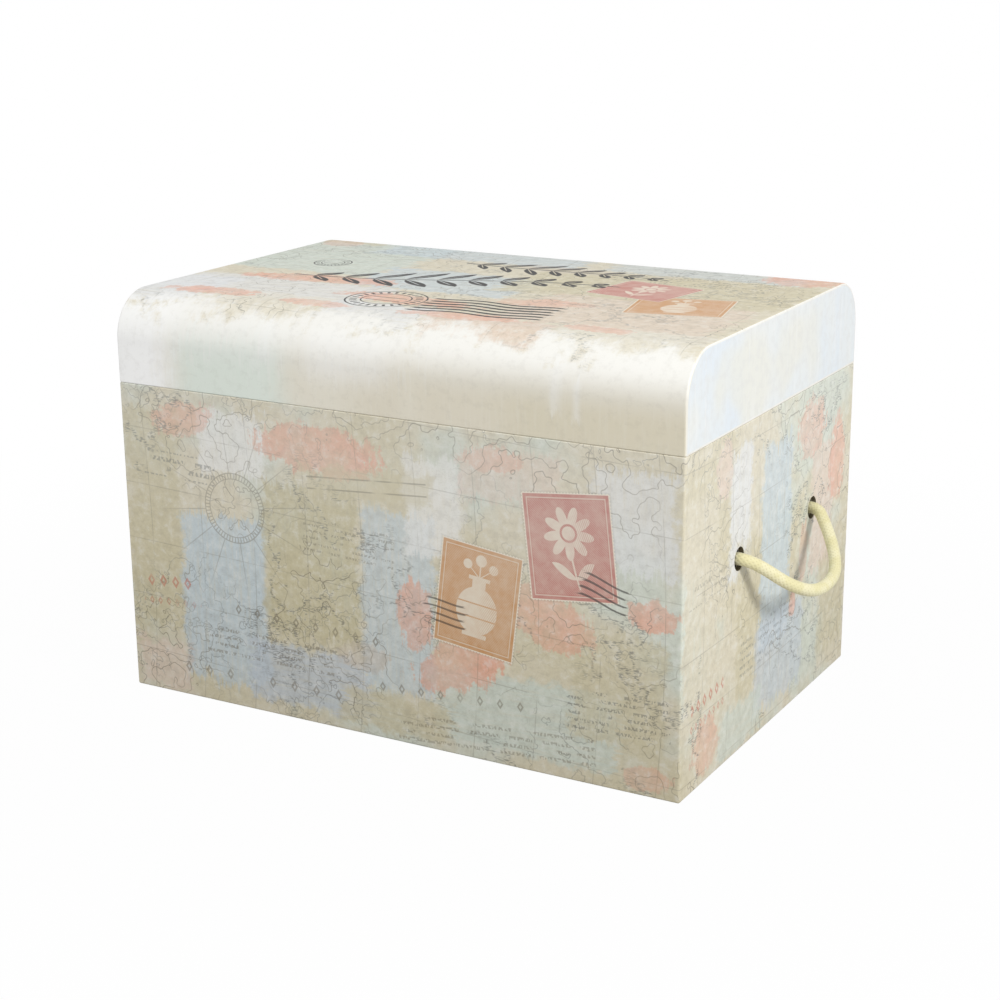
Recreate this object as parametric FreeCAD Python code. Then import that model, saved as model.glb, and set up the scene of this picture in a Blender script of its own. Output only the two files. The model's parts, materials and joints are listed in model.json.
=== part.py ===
import math
import os

import FreeCAD
import Part

# A paper-covered board storage trunk with a hinged lid and two rope handles.
# Millimetres, +Z up, +X to the trunk's right, -Y to its front.
# The origin lies on the surface the trunk stands on, under its middle.

V = FreeCAD.Vector

# Outside of the trunk
trunk_width = 400.0
trunk_depth = 272.0
seam_height = 209.0
lid_height = 58.0
lid_round_radius = 30.0
edge_radius = 1.4
rim_fold_radius = 0.8

# Boards and papers
body_board = 3.0
lid_board = 2.3
board_edge_bevel = 0.65
board_rim_bevel = 0.3
cover_paper = 0.3
lining_paper = 0.3
base_paper = 0.3
base_turn_in = 16.0
rim_turn_in = 15.0
end_paper_margin = 1.6
floor_pad_thickness = 0.8
floor_pad_gap = 0.4

# Stay tapes that hold the boards together under the cover
tape_thickness = 0.2
body_tape_width = 20.0
lid_tape_width = 12.0
tape_end_gap = 2.5

# Collar inside the rim that the lid drops over
collar_board = 1.5
collar_rise = 14.0
collar_below_rim = 46.0
collar_top_bevel = 0.5
collar_rear_gap = 9.0
collar_rear_radius = 10.0

# Rope handles
rope_diameter = 7.6
hole_diameter = 15.0
hole_spacing = 121.0
hole_below_rim = 82.0
hole_pair_back = 5.5
knot_diameter = 22.0
knot_turns = 2
knot_crown_share = 0.45
tail_length = 14.0
tail_end_bevel = 1.2
rope_sides = 12
rope_dome_angles = (30, 60, 80)
rope_arc_share = 0.45
swing_clearance = 0.5
rope_end_gap = 0.3

# How far a cutting tool runs past what it cuts, and how near two levels count as one
overrun = 5.0
same_level = 0.01

half_width = trunk_width / 2
half_depth = trunk_depth / 2
half_height = seam_height / 2
total_height = seam_height + lid_height
rope_radius = rope_diameter / 2

board_x = half_width - cover_paper - body_board
board_y = half_depth - cover_paper - body_board
room_x = board_x - lining_paper
room_y = board_y - lining_paper
base_bottom = base_paper + cover_paper
base_top = base_bottom + body_board

lid_board_inset = cover_paper + lid_board
lid_room_inset = lid_board_inset + lining_paper

strip_back = half_depth - rim_fold_radius
hole_height = seam_height - hole_below_rim
swing_x = half_width + rope_radius + swing_clearance
hole_places = (hole_pair_back - hole_spacing / 2, hole_pair_back + hole_spacing / 2)

# The right handle's route, from the middle of its swing axis: out of the front
# hole, down and round in a drooping bight, and back into the rear hole.
handle_route = [
    (0.0, -hole_spacing / 2, 0.0),
    (8.2, -53.5, -5.6),
    (21.8, -42.5, -18.2),
    (30.2, -22.5, -27.0),
    (31.0, 0.5, -27.8),
    (28.2, 19.5, -25.4),
    (19.2, 37.5, -16.2),
    (7.2, 52.5, -5.4),
    (0.0, hole_spacing / 2, 0.0),
]


def block(x0, y0, z0, x1, y1, z1):
    return Part.makeBox(x1 - x0, y1 - y0, z1 - z0, V(x0, y0, z0))


def ring(outer_x, outer_y, wall, z0, z1):
    """An upright square tube round the trunk's middle, its wall inside the outer faces."""
    outside = block(-outer_x, -outer_y, z0, outer_x, outer_y, z1)
    inner_x = outer_x - wall
    inner_y = outer_y - wall
    return outside.cut(
        block(-inner_x, -inner_y, z0 - overrun, inner_x, inner_y, z1 + overrun)
    )


def level_edges(shape, z):
    """The edges that lie all in the level z."""
    return [
        edge
        for edge in shape.Edges
        if max(abs(vertex.Z - z) for vertex in edge.Vertexes) < same_level
    ]


def softened(solid, folds, rim_level, inset):
    """Paper folds are rounded, and the board edges under them are bevelled to match."""
    if inset < cover_paper:
        solid = solid.makeFillet(edge_radius, folds)
        return solid.makeFillet(rim_fold_radius, level_edges(solid, rim_level))
    thinner = (inset - cover_paper) * (2 - math.sqrt(2))
    solid = solid.makeChamfer(board_edge_bevel - thinner, folds)
    rim = level_edges(solid, rim_level)
    return solid.makeChamfer(board_rim_bevel - thinner, rim)


def body_block(inset):
    """The body as one solid block, inside its outer faces by inset."""
    x = half_width - inset
    y = half_depth - inset
    z1 = seam_height - inset
    solid = block(-x, -y, base_paper + inset, x, y, z1)
    rim = level_edges(solid, z1)
    folds = [edge for edge in solid.Edges if not any(edge.isSame(r) for r in rim)]
    return softened(solid, folds, z1, inset)


def lid_prism(inset, x, z0):
    """A prism of the lid's section, its faces inside the outer ones by inset."""
    y = half_depth - inset
    top = total_height - inset
    radius = lid_round_radius - inset
    shoulder = top - radius
    flat = y - radius
    corner = radius * math.sqrt(0.5)
    edges = [
        Part.makeLine(V(-x, -y, z0), V(-x, -y, shoulder)),
        Part.Arc(
            V(-x, -y, shoulder),
            V(-x, -flat - corner, shoulder + corner),
            V(-x, -flat, top),
        ).toShape(),
        Part.makeLine(V(-x, -flat, top), V(-x, flat, top)),
        Part.Arc(
            V(-x, flat, top),
            V(-x, flat + corner, shoulder + corner),
            V(-x, y, shoulder),
        ).toShape(),
        Part.makeLine(V(-x, y, shoulder), V(-x, y, z0)),
        Part.makeLine(V(-x, y, z0), V(-x, -y, z0)),
    ]
    return Part.Face(Part.Wire(edges)).extrude(V(2 * x, 0, 0))


def lid_block(inset):
    """The lid as one solid block, inside its outer faces by inset."""
    x = half_width - inset
    z0 = seam_height + inset
    solid = lid_prism(inset, x, z0)
    ends = []
    for face in solid.Faces:
        if abs(abs(face.CenterOfMass.x) - x) < same_level:
            rim = level_edges(face, z0)
            ends += [
                edge for edge in face.Edges if not any(edge.isSame(r) for r in rim)
            ]
    return softened(solid, ends, z0, inset)


def lid_room(inset):
    """The space inside the lid, open below, as a prism inside its outer faces by inset."""
    return lid_prism(inset, half_width - inset, seam_height - overrun)


def rope_holes(side):
    """Cylinders through one end wall, where the rope passes."""
    reach = board_x - overrun
    tools = [
        Part.makeCylinder(
            hole_diameter / 2,
            half_width - reach + overrun,
            V(side * reach, place, hole_height),
            V(side, 0, 0),
        )
        for place in hole_places
    ]
    return tools[0].fuse(tools[1])


def all_rope_holes():
    return rope_holes(1).fuse(rope_holes(-1))


def rear_rim_zone(z0, z1):
    """Where the inner hinge strip takes the cover's place on a rear rim."""
    return block(-room_x, 0, z0, room_x, strip_back, z1)


# Body


def base_sheet():
    """The lowest sheet, pressed up against the board inside the cover's turned-in edges."""
    margin = edge_radius + base_paper
    x = half_width - margin
    y = half_depth - margin
    sheet = block(-x, -y, 0, x, y, base_paper)
    inner_x = half_width - base_turn_in
    inner_y = half_depth - base_turn_in
    return sheet.fuse(
        block(-inner_x, -inner_y, 0, inner_x, inner_y, base_bottom)
    ).removeSplitter()


def base_panel():
    return block(-board_x, -board_y, base_bottom, board_x, board_y, base_top)


def corner_stays():
    """Gummed tape round the four upright corners, pressed into the boards."""
    skin = body_block(cover_paper).cut(body_block(cover_paper + tape_thickness))
    z0 = base_bottom + tape_end_gap
    z1 = seam_height - cover_paper - tape_end_gap
    tapes = []
    for side in (-1, 1):
        for end in (-1, 1):
            xs = sorted((side * half_width, side * (half_width - body_tape_width)))
            ys = sorted((end * half_depth, end * (half_depth - body_tape_width)))
            tapes.append(skin.common(block(xs[0], ys[0], z0, xs[1], ys[1], z1)))
    return tapes


def body_walls():
    """The four wall boards: front and rear run the full width, the ends stand between."""
    walls = body_block(cover_paper).cut(
        block(-board_x, -board_y, 0, board_x, board_y, total_height)
    )
    for tape in corner_stays():
        walls = walls.cut(tape)
    walls = walls.cut(all_rope_holes())
    x = half_width
    y = half_depth
    return {
        "front_wall_board": walls.common(block(-x, -y, 0, x, -board_y, seam_height)),
        "rear_wall_board": walls.common(block(-x, board_y, 0, x, y, seam_height)),
        "left_wall_board": walls.common(
            block(-x, -board_y, 0, -board_x, board_y, seam_height)
        ),
        "right_wall_board": walls.common(
            block(board_x, -board_y, 0, x, board_y, seam_height)
        ),
    }


def body_wrap():
    """The printed cover: over the walls, turned in under the base and over the rim."""
    cover = body_block(0).cut(body_block(cover_paper))
    cover = cover.fuse(
        ring(board_x, board_y, lining_paper, seam_height - rim_turn_in, seam_height)
    )
    cover = cover.cut(
        block(-room_x, -room_y, half_height, room_x, room_y, total_height)
    )
    inner_x = half_width - base_turn_in
    inner_y = half_depth - base_turn_in
    cover = cover.cut(block(-inner_x, -inner_y, 0, inner_x, inner_y, half_height))
    cover = cover.cut(rear_rim_zone(seam_height - rim_turn_in, total_height))
    return cover.cut(all_rope_holes()).removeSplitter()


def wall_lining():
    lining = ring(
        board_x, board_y, lining_paper, base_top, seam_height - rim_turn_in
    )
    return lining.cut(all_rope_holes())


def floor_pad():
    x = room_x - floor_pad_gap
    y = room_y - floor_pad_gap
    return block(-x, -y, base_top, x, y, base_top + floor_pad_thickness)


def hinge_strip_lower():
    """The inner half of the paper hinge on the body: down the rear wall and over its rim."""
    leg = block(
        -room_x, room_y, seam_height - rim_turn_in, room_x, board_y, seam_height
    )
    cap = block(
        -room_x, room_y, seam_height - cover_paper, room_x, strip_back, seam_height
    )
    return leg.fuse(cap).removeSplitter()


def front_collar():
    z0 = seam_height - collar_below_rim
    z1 = seam_height + collar_rise
    board = block(-room_x, -room_y, z0, room_x, collar_board - room_y, z1)
    long_edges = [
        edge for edge in level_edges(board, z1) if edge.Length > trunk_depth / 2
    ]
    return board.makeChamfer(collar_top_bevel, long_edges)


def side_collar(side):
    """One end's collar board, with its upper rear corner rounded for the closing lid."""
    z0 = seam_height - collar_below_rim
    z1 = seam_height + collar_rise
    xs = sorted((side * room_x, side * (room_x - collar_board)))
    y1 = room_y - collar_rear_gap
    board = block(xs[0], collar_board - room_y, z0, xs[1], y1, z1)
    rear = [
        edge
        for edge in level_edges(board, z1)
        if abs(edge.CenterOfMass.y - y1) < collar_board / 2
    ]
    board = board.makeFillet(collar_rear_radius, rear)
    long_edges = [
        edge for edge in level_edges(board, z1) if edge.Length > trunk_depth / 2
    ]
    return board.makeChamfer(collar_top_bevel, long_edges)


def rope_ring(centre, out, radius):
    """The corners of the rope's many-sided section, square to the way out."""
    across = out.cross(V(0, 0, 1)).normalize()
    over = out.cross(across)
    corners = []
    for count in range(rope_sides):
        angle = 2 * math.pi * count / rope_sides
        spoke = across * math.cos(angle) + over * math.sin(angle)
        corners.append(centre + spoke * radius)
    return corners


def outline(corners):
    return Part.makePolygon(corners + corners[:1])


def faceted(rings):
    """A closed solid of flat faces through rings that have equally many corners."""
    faces = [Part.Face(outline(rings[0])), Part.Face(outline(rings[-1]))]
    for near, far in zip(rings, rings[1:]):
        for here in range(len(near)):
            after = (here + 1) % len(near)
            corners = [near[here], near[after], far[after], far[here]]
            faces.append(Part.Face(outline(corners)))
    shell = Part.makeShell(faces)
    shell.sewShape()
    solid = Part.Solid(shell)
    return solid if solid.Volume > 0 else solid.reversed()


def rope_end(side, place):
    """The rope's end: a stub through the wall, a stopper knot behind it, and a short tail."""
    waist = knot_diameter / 2 - rope_radius
    crown = rope_radius * knot_crown_share
    mouth = swing_x - rope_radius - rope_end_gap
    steps = [(room_x - mouth, rope_radius), (0, rope_radius), (0, waist)]
    for count in range(knot_turns):
        middle = (count + 0.5) * rope_diameter
        steps.append((middle - crown, knot_diameter / 2))
        steps.append((middle + crown, knot_diameter / 2))
        steps.append((middle + rope_radius, waist))
    back = knot_turns * rope_diameter
    end = back + tail_length
    steps.append((back, rope_radius))
    steps.append((end - tail_end_bevel, rope_radius))
    steps.append((end, rope_radius - tail_end_bevel))
    # It points away from the wall whose lining the knot bears on.
    inward = V(-side, 0, 0)
    foot = V(side * room_x, place, hole_height)
    rings = [rope_ring(foot + inward * x, inward, radius) for x, radius in steps]
    return faceted(rings)


# Lid


def lid_tapes():
    """Gummed tape along both curved ends of the bent board."""
    skin = lid_block(cover_paper).cut(lid_block(cover_paper + tape_thickness))
    reach = cover_paper + lid_tape_width
    middle = lid_prism(reach, half_width, seam_height)
    foot = seam_height + cover_paper + tape_end_gap
    tapes = []
    for side in (-1, 1):
        xs = sorted((side * half_width, side * (half_width - reach)))
        band = skin.common(
            block(xs[0], -half_depth, foot, xs[1], half_depth, total_height)
        )
        tapes.append(band.cut(middle))
    return tapes


def lid_boards():
    """The bent board that makes front, top and back, and the two flat ends inside it."""
    boards = lid_block(cover_paper)
    for tape in lid_tapes():
        boards = boards.cut(tape)
    inside = lid_prism(lid_board_inset, half_width, seam_height)
    z0 = seam_height
    z1 = total_height
    y = half_depth
    x0 = half_width - lid_board_inset
    ends = boards.common(inside)
    return {
        "lid_shell_board": boards.cut(inside),
        "lid_left_end_board": ends.common(block(-half_width, -y, z0, -x0, y, z1)),
        "lid_right_end_board": ends.common(block(x0, -y, z0, half_width, y, z1)),
    }


def lid_end_paper(side):
    """The sheet pasted on one flat end, a little inside the end's folded edge."""
    sheet = lid_prism(end_paper_margin, half_width, seam_height + end_paper_margin)
    xs = sorted((side * half_width, side * (half_width - cover_paper)))
    return sheet.common(
        block(xs[0], -half_depth, seam_height, xs[1], half_depth, total_height)
    )


def lid_wrap():
    """The printed cover: front, top and back in one, turned round the ends and the rim."""
    cover = lid_block(0).cut(lid_block(cover_paper))
    top = seam_height + rim_turn_in
    turned = lid_room(lid_board_inset).common(
        block(-half_width, -half_depth, seam_height, half_width, half_depth, top)
    )
    cover = cover.fuse(turned).cut(lid_room(lid_room_inset))
    cover = cover.cut(rear_rim_zone(seam_height - overrun, top))
    for side in (-1, 1):
        cover = cover.cut(lid_end_paper(side))
    return cover.removeSplitter()


def lid_lining():
    lining = lid_room(lid_board_inset).cut(lid_room(lid_room_inset))
    foot = seam_height + rim_turn_in
    return lining.common(
        block(-half_width, -half_depth, foot, half_width, half_depth, total_height)
    )


def hinge_strip_upper():
    """The inner half of the paper hinge on the lid: up its back and under its rim."""
    inner_y = half_depth - lid_room_inset
    outer_y = half_depth - lid_board_inset
    z0 = seam_height
    leg = block(-room_x, inner_y, z0, room_x, outer_y, z0 + rim_turn_in)
    cap = block(-room_x, inner_y, z0, room_x, strip_back, z0 + cover_paper)
    return leg.fuse(cap).removeSplitter()


# Rope handles


def rounded_path(points):
    """Straight runs joined by arcs as large as the two runs at each corner allow."""
    runs = [(b - a).Length for a, b in zip(points, points[1:])]
    edges = []
    radii = []
    start = points[0]
    for index in range(1, len(points) - 1):
        corner = points[index]
        back = (points[index - 1] - corner).normalize()
        ahead = (points[index + 1] - corner).normalize()
        half_turn = (math.pi - back.getAngle(ahead)) / 2
        setback = rope_arc_share * min(runs[index - 1], runs[index])
        radius = setback / math.tan(half_turn)
        radii.append(radius)
        enter = corner + back * setback
        leave = corner + ahead * setback
        inward = (back + ahead).normalize()
        middle = corner + inward * (radius / math.cos(half_turn) - radius)
        edges.append(Part.LineSegment(start, enter).toShape())
        edges.append(Part.Arc(enter, middle, leave).toShape())
        start = leave
    edges.append(Part.LineSegment(start, points[-1]).toShape())
    return Part.Wire(edges), radii, runs


def rope_dome(end_face, centre, out):
    """A round end on the rope, so that it turns in place at the wall."""
    rim = [vertex.Point for vertex in end_face.OuterWire.OrderedVertexes]
    rings = [rim]
    for angle in rope_dome_angles:
        lift = out * (rope_radius * math.sin(math.radians(angle)))
        share = math.cos(math.radians(angle))
        rings.append([centre + (corner - centre) * share + lift for corner in rim])
    return faceted(rings)


def rope_loop(side):
    """One handle's free rope, with round ends centred on its swing axis."""
    points = [
        V(side * (swing_x + x), hole_pair_back + y, hole_height + z)
        for x, y, z in handle_route
    ]
    path, radii, runs = rounded_path(points)
    out = (points[1] - points[0]).normalize()
    section = outline(rope_ring(points[0], out, rope_radius))
    tube = path.makePipeShell([section], True, False)
    ideal = Part.Face(section).Area * path.Length
    print(
        "rope loop: least radius",
        round(min(radii), 1),
        "runs",
        [round(run, 1) for run in runs],
        "length",
        round(path.Length, 1),
        "volume share",
        round(tube.Volume / ideal, 4),
    )
    domes = []
    for centre, way in ((points[0], out * -1), (points[-1], points[-1] - points[-2])):
        end_face = min(tube.Faces, key=lambda face: (face.CenterOfMass - centre).Length)
        domes.append(rope_dome(end_face, centre, way.normalize()))
    return tube.fuse(domes)


def save(name, shape):
    solids = shape.Solids
    if not solids or not shape.isValid():
        raise ValueError(name + " is not a valid solid")
    kept = solids[0] if len(solids) == 1 else Part.makeCompound(solids)
    kept.exportStep("parts/" + name + ".step")
    print(name, len(solids), round(kept.Volume, 1))


def main():
    os.makedirs("parts", exist_ok=True)
    save("base_sheet", base_sheet())
    save("base_board", base_panel())
    for name, shape in body_walls().items():
        save(name, shape)
    save("corner_stay_tapes", Part.makeCompound(corner_stays()))
    save("body_wrap", body_wrap())
    save("wall_lining", wall_lining())
    save("floor_pad", floor_pad())
    save("hinge_strip_lower", hinge_strip_lower())
    save("front_collar_board", front_collar())
    for name, shape in lid_boards().items():
        save(name, shape)
    save("lid_corner_tapes", Part.makeCompound(lid_tapes()))
    save("lid_wrap", lid_wrap())
    save("lid_lining", lid_lining())
    save("hinge_strip_upper", hinge_strip_upper())
    for word, side in (("left", -1), ("right", 1)):
        save(word + "_collar_board", side_collar(side))
        save("lid_" + word + "_end_wrap", lid_end_paper(side))
        save(word + "_front_rope_end", rope_end(side, hole_places[0]))
        save(word + "_rear_rope_end", rope_end(side, hole_places[1]))
        save(word + "_rope_loop", rope_loop(side))


main()
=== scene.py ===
import json
import math

import bmesh
import bpy
from mathutils import Matrix, Vector


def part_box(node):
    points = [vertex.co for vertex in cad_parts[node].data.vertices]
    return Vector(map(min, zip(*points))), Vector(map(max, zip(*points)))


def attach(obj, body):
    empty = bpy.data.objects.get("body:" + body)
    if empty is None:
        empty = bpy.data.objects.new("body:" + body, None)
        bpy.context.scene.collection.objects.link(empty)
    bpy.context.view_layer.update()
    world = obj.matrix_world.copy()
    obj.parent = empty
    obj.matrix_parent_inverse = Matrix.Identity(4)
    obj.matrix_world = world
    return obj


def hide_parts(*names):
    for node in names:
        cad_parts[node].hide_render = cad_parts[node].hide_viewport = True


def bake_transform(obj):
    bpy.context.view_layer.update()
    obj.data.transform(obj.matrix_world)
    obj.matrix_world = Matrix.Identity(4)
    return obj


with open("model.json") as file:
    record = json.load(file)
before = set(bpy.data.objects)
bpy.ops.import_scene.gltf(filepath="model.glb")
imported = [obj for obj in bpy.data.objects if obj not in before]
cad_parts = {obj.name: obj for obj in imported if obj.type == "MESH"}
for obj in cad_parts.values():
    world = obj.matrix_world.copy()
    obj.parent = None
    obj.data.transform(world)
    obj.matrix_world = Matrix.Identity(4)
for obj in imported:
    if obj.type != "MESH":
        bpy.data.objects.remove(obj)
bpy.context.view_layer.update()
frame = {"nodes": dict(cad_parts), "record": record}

# A paper-covered storage trunk: printed covers, plain linings and braided rope
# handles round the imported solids. Metres, +X to the trunk's right, -Y to its front.

MM = 0.001

# Sizes read from the frame
body_low, body_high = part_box("body_wrap")
lid_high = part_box("lid_wrap")[1]
WIDTH = body_high.x - body_low.x
SEAM = body_high.z
TOP = lid_high.z

LID_ROUND = 30 * MM
# How far up the lid's print its folded end edges take their pale paper from
LID_FOLD_PRINT = 46 * MM
SAME_PLACE = 1e-6
SMOOTH_ANGLE = math.radians(35)
LINING_ANGLE = math.radians(12)
ROPE_ANGLE = math.radians(80)

# The handles, as in the part's source: the right one's route starts from the middle
# of its swing axis
ROPE_DIAMETER = 7.6 * MM
HOLE_SPACING = 121 * MM
HOLE_BELOW_RIM = 82 * MM
HOLE_PAIR_BACK = 5.5 * MM
SWING_CLEARANCE = 0.5 * MM
HANDLE_ROUTE = [
    (0.0, -HOLE_SPACING / 2, 0.0),
    (0.0082, -0.0535, -0.0056),
    (0.0218, -0.0425, -0.0182),
    (0.0302, -0.0225, -0.0270),
    (0.0310, 0.0005, -0.0278),
    (0.0282, 0.0195, -0.0254),
    (0.0192, 0.0375, -0.0162),
    (0.0072, 0.0525, -0.0054),
    (0.0, HOLE_SPACING / 2, 0.0),
]
ROPE_SIDES = 48
ROPE_STEP = 0.5 * MM
ROUTE_STEPS = 24
ROPE_PLAITS = 8
ROPE_TURN = 24 * MM
BRAID_DEPTH = 0.12
BRAID_CREST = ROPE_DIAMETER / 2 * 1.04
# The rope inside its wall, and the stopper knot behind it
ROPE_IN_WALL = 1.5 * MM
WALL_AND_LINING = 3.6 * MM
KNOT_TURNS = 2
KNOT_POINTS = 14
KNOT_RADIUS = 11 * MM
KNOT_PLAY = 2 * MM
TAIL_SAG = 1.2 * MM
TAIL_FLARE = 0.10
FLARE_LENGTH = 4 * MM

# The rear fold: how far in from the cover's back, and how far above the seam, in mm
HINGE_FOLD = [
    (0.14, -1.0),
    (0.26, -0.6),
    (0.52, -0.2),
    (0.58, 0.0),
    (0.52, 0.2),
    (0.26, 0.6),
    (0.14, 1.0),
]
HINGE_HALF = 196 * MM
FOLD_PAPER = 0.12 * MM


def srgb(red, green, blue):
    """A colour as a screen shows it, in the shaders' linear values."""
    values = [channel / 255 for channel in (red, green, blue)]
    linear = [
        v / 12.92 if v <= 0.04045 else ((v + 0.055) / 1.055) ** 2.4 for v in values
    ]
    return (*linear, 1.0)


# Shader sums


class Paint:
    """One shader socket. A sum with it adds its Math nodes."""

    def __init__(self, nodes, socket):
        self.nodes = nodes
        self.socket = socket

    def sum(self, operation, *values):
        settings = {"operation": operation}
        return self.nodes.node("ShaderNodeMath", settings, dict(enumerate(values)))

    def __add__(self, other):
        return self.sum("ADD", self, other)

    def __sub__(self, other):
        return self.sum("SUBTRACT", self, other)

    def __rsub__(self, other):
        return self.sum("SUBTRACT", other, self)

    def __mul__(self, other):
        return self.sum("MULTIPLY", self, other)

    def __truediv__(self, other):
        return self.sum("DIVIDE", self, other)

    def __abs__(self):
        return self.sum("ABSOLUTE", self)

    def fraction(self):
        return self.sum("FRACT", self)

    def floor(self):
        return self.sum("FLOOR", self)

    def sine(self):
        return self.sum("SINE", self)

    def root(self):
        return self.sum("SQRT", self)

    def least(self, other):
        return self.sum("MINIMUM", self, other)

    def most(self, other):
        return self.sum("MAXIMUM", self, other)

    def out(self, other):
        """How far the point with these two coordinates is from the middle."""
        return (self * self + other * other).root()

    def angle(self, other):
        """The direction of the point that is self up and other along."""
        return self.sum("ARCTAN2", self, other)

    def off_half(self):
        """How far its fraction is from a half."""
        return abs(self.fraction() - 0.5)

    def rise(self, low, high, start=0.0, end=1.0):
        """0 up to low, 1 from high on, and smooth between."""
        ends = {"From Min": low, "From Max": high, "To Min": start, "To Max": end}
        settings = {"interpolation_type": "SMOOTHSTEP"}
        return self.nodes.node("ShaderNodeMapRange", settings, {"Value": self, **ends})

    def fall(self, low, high):
        """1 up to low, 0 from high on, and smooth between."""
        return self.rise(low, high, 1.0, 0.0)


# The rays that meet a white floor and white surroundings
WHITE_TO = ("Is Camera Ray", "Is Glossy Ray", "Is Transmission Ray")

# A colour Mix node's sockets, which share their names with those of its other kinds
MIX_MASK, MIX_UNDER, MIX_OVER = 0, 6, 7
MIX_COLOUR = 2


class Nodes:
    """A node tree that starts empty."""

    def __init__(self, tree):
        self.tree = tree
        tree.nodes.clear()

    def add(self, kind, settings=None, values=None):
        """Adds one node: its settings first, then its sockets' values and links."""
        made = self.tree.nodes.new(kind)
        for key, value in (settings or {}).items():
            setattr(made, key, value)
        for key, value in (values or {}).items():
            socket = made.inputs[key]
            if isinstance(value, Paint):
                self.tree.links.new(value.socket, socket)
            else:
                socket.default_value = value
        return made

    def node(self, kind, settings=None, values=None, output=0):
        """Adds one node, and gives one of its outputs."""
        return Paint(self, self.add(kind, settings, values).outputs[output])

    def white_rays(self):
        """1 for the rays that meet a white floor and white surroundings."""
        path = self.add("ShaderNodeLightPath")
        seen, mirrored, through = [Paint(self, path.outputs[ray]) for ray in WHITE_TO]
        return seen.most(mirrored).most(through)


class Finish(Nodes):
    """A material, with its one surface shader."""

    def __init__(self, name):
        self.material = bpy.data.materials.new(name)
        self.material.use_nodes = True
        super().__init__(self.material.node_tree)

    def place(self):
        return self.node("ShaderNodeTexCoord", output="Object")

    def own_map(self, name):
        """A piece's own UV map, in metres."""
        return self.node("ShaderNodeUVMap", {"uv_map": name})

    def split(self, vector):
        made = self.add("ShaderNodeSeparateXYZ", None, {0: vector})
        return [Paint(self, output) for output in made.outputs]

    def join(self, x, y):
        return self.node("ShaderNodeCombineXYZ", None, {0: x, 1: y})

    def moved(self, vector, x, y):
        """The vector seen from another place."""
        values = {"Vector": vector, "Location": (x, y, 0)}
        return self.node("ShaderNodeMapping", {"vector_type": "TEXTURE"}, values)

    def stretched(self, vector, x, y, z=1.0):
        values = {"Vector": vector, "Scale": (x, y, z)}
        return self.node("ShaderNodeMapping", {"vector_type": "POINT"}, values)

    def noise(self, vector, scale, detail=2.0, roughness=0.5):
        values = {"Vector": vector, "Scale": scale, "Detail": detail, "Roughness": roughness}
        return self.node("ShaderNodeTexNoise", {"noise_dimensions": "3D"}, values)

    def blend(self, under, over, mask):
        """Two colours, the second laid over the first where the mask is 1."""
        values = {MIX_MASK: mask, MIX_UNDER: under, MIX_OVER: over}
        return self.node("ShaderNodeMix", {"data_type": "RGBA"}, values, MIX_COLOUR)

    def bump(self, height, distance, strength):
        values = {"Height": height, "Distance": distance, "Strength": strength}
        return self.node("ShaderNodeBump", None, values)

    def surface(self, color, roughness, normal, **fixed):
        """The one shader of the material. What is fixed is the same all over it."""
        values = {"Base Color": color, "Roughness": roughness, "Normal": normal}
        values.update({key.replace("_", " "): value for key, value in fixed.items()})
        shader = self.node("ShaderNodeBsdfPrincipled", None, values)
        self.add("ShaderNodeOutputMaterial", None, {0: shader})
        return self.material


# Shapes


def linked(name, data):
    """A new object in the scene."""
    thing = bpy.data.objects.new(name, data)
    bpy.context.scene.collection.objects.link(thing)
    return thing


def finished(name, shape, material, sharp=SMOOTH_ANGLE):
    """A piece from a bmesh, smooth but for its sharp edges."""
    mesh = bpy.data.meshes.new(name)
    shape.to_mesh(mesh)
    shape.free()
    mesh.materials.append(material)
    mesh.shade_smooth()
    mesh.set_sharp_from_angle(angle=sharp)
    return linked(name, mesh)


def flat_panels(piece):
    """Keeps wide faces flat where a small fold meets them."""
    weighted = piece.modifiers.new("panel normals", "WEIGHTED_NORMAL")
    weighted.keep_sharp = True


def copied(node):
    """A merged copy of a solid's mesh."""
    shape = bmesh.new()
    shape.from_mesh(frame["nodes"][node].data)
    bmesh.ops.remove_doubles(shape, verts=shape.verts, dist=SAME_PLACE)
    return shape


# The camera, where the photograph was taken from, in metres, radians and mm of lens

CAMERA_PLACE = (0.6272, -1.0997, 0.4956)
CAMERA_YAW = 0.5148
CAMERA_PITCH = 0.2873
CAMERA_ROLL = -0.0079
CAMERA_LENS = 71.07
CAMERA_SENSOR = 36


def make_camera():
    """The camera looks along -Z with +Y up before its three turns."""
    turned = (
        Matrix.Rotation(CAMERA_YAW, 4, "Z")
        @ Matrix.Rotation(math.pi / 2 - CAMERA_PITCH, 4, "X")
        @ Matrix.Rotation(CAMERA_ROLL, 4, "Z")
    )
    data = bpy.data.cameras.new("camera")
    data.lens = CAMERA_LENS
    data.sensor_width = CAMERA_SENSOR
    camera = linked("camera", data)
    camera.matrix_world = Matrix.Translation(CAMERA_PLACE) @ turned
    bpy.context.scene.camera = camera


make_camera()

# The printed sheets


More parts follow.
